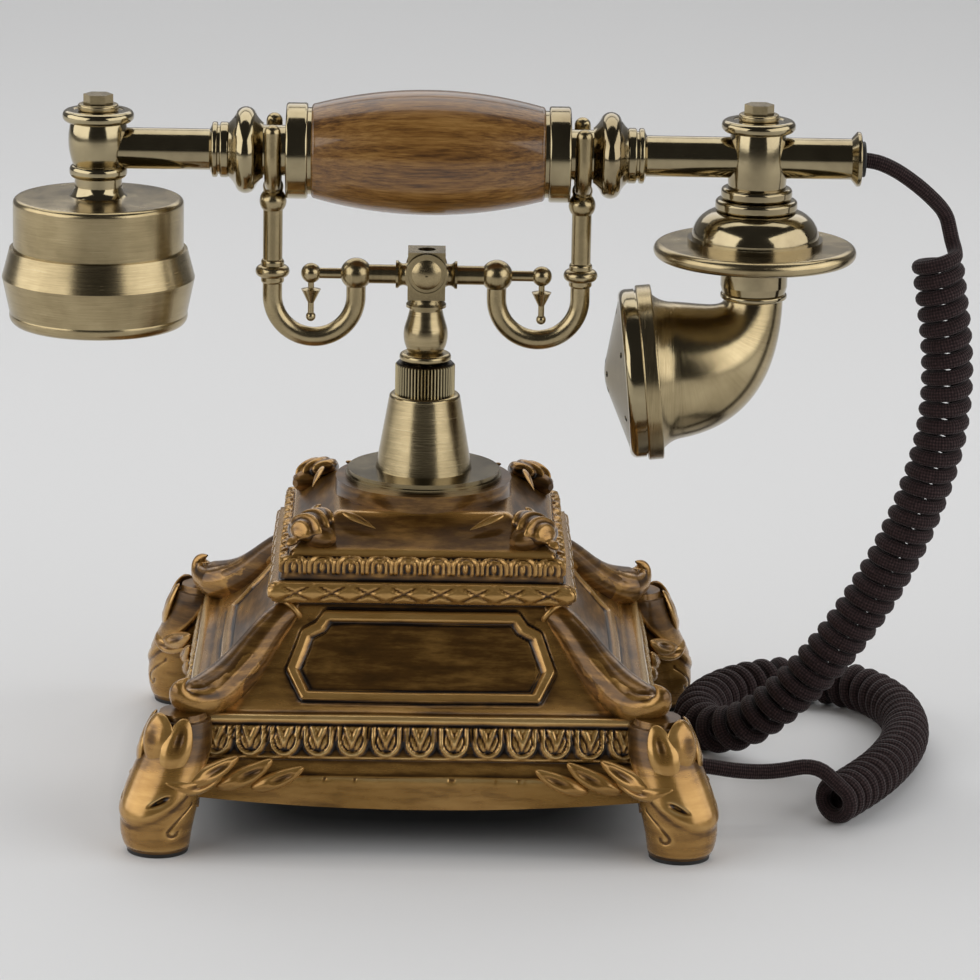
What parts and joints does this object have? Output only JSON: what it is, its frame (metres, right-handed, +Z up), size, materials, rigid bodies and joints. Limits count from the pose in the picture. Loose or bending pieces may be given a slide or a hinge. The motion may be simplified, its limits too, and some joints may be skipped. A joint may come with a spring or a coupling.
{
  "type": "table telephone",
  "caption": "Antique style table telephone with dial, ornate square base, two-hook cradle and wooden-grip handset on a curly cord.",
  "frame": {"origin": "on the table under the stem of the cradle, in the middle of the base", "axes": "+Z up, +X from the ear cup to the mouthpiece, the dial looks along +Y"},
  "size_m": [0.2857, 0.1708, 0.2075],
  "materials": {
    "base_casting": "golden brown antiqued, glossy",
    "polished_brass": "antique brass, polished",
    "satin_brass": "antique brass, brushed",
    "steel": "plain",
    "wood_grip": "glossy, streaked",
    "dark_rubber": "matt black",
    "cord_braid": "dark brown woven braid",
    "printed_plate": "ivory",
    "dark_plastic": "matt black",
    "board": "green",
    "coil_winding": "wound wire"
  },
  "bodies": {
    "base": {"base_shell": "base_casting", "foot_pads": "dark_rubber", "bottom_plate": "dark_plastic", "bottom_screws": "steel", "top_disc": "polished_brass", "cone_sleeve": "satin_brass", "knurled_collar": "polished_brass", "guide_bush": "steel", "bush_nut": "steel", "switch_bracket": "steel", "hook_switch": "dark_plastic", "cradle_spring": "steel", "inner_screws": "steel", "circuit_board": "board", "line_jack": "dark_plastic", "ringer_frame": "steel", "ringer_coils": "coil_winding", "gongs": "steel", "dial_case": "dark_plastic", "number_plate": "printed_plate", "dial_screws": "steel", "finger_stop": "polished_brass", "cord_gland": "dark_rubber"},
    "cradle": {"cradle_stem": "polished_brass", "stem_clip": "steel", "cross_block": "polished_brass", "right_arm": "polished_brass", "left_arm": "polished_brass", "right_hook": "satin_brass", "left_hook": "satin_brass", "drop_finials": "polished_brass"},
    "handset": {"grip": "wood_grip", "tie_tube": "steel", "grip_collars": "polished_brass", "right_knob": "polished_brass", "left_knob": "polished_brass", "left_tube": "polished_brass", "right_tube": "polished_brass", "ear_column": "polished_brass", "mouth_column": "polished_brass", "column_bolts": "polished_brass", "ear_cup": "satin_brass", "ear_ring": "satin_brass", "earphone": "steel", "mouth_dome": "polished_brass", "guard_disc": "polished_brass", "horn_neck": "polished_brass", "horn": "satin_brass", "horn_bell": "satin_brass", "mouth_ring": "satin_brass", "mouth_bezel": "polished_brass", "mouth_grille": "satin_brass", "microphone": "steel", "end_flange": "polished_brass", "cord_bush": "dark_rubber", "handset_cord": "cord_braid"},
    "dial": {"finger_wheel": "polished_brass", "dial_shaft": "steel", "dial_cap": "polished_brass"},
    "clapper": {"clapper": "steel"}
  },
  "joints": [
    {"name": "cradle_lift", "type": "slide", "parent": "base", "child": "cradle", "axis": [0, 0, 1], "range_m": [0, 0.005], "stiffness_N_per_m": 300, "springref_m": 0.012, "deforming": ["cradle_spring"]},
    {"name": "handset_lift", "type": "slide", "parent": "cradle", "child": "handset", "axis": [0, 0, 1], "range_m": [0, 0.12]},
    {"name": "dial_turn", "type": "hinge", "parent": "base", "child": "dial", "pos_m": [0, 0.0546, 0.0524], "axis": [0, 0.7071, 0.7071], "range_deg": [-320, 0], "stiffness_Nm_per_rad": 0.02, "springref_deg": 28.65},
    {"name": "clapper_swing", "type": "hinge", "parent": "base", "child": "clapper", "pos_m": [0, -0.012, 0.028], "axis": [0, 0, 1], "range_deg": [-3.5, 3.5]}
  ]
}
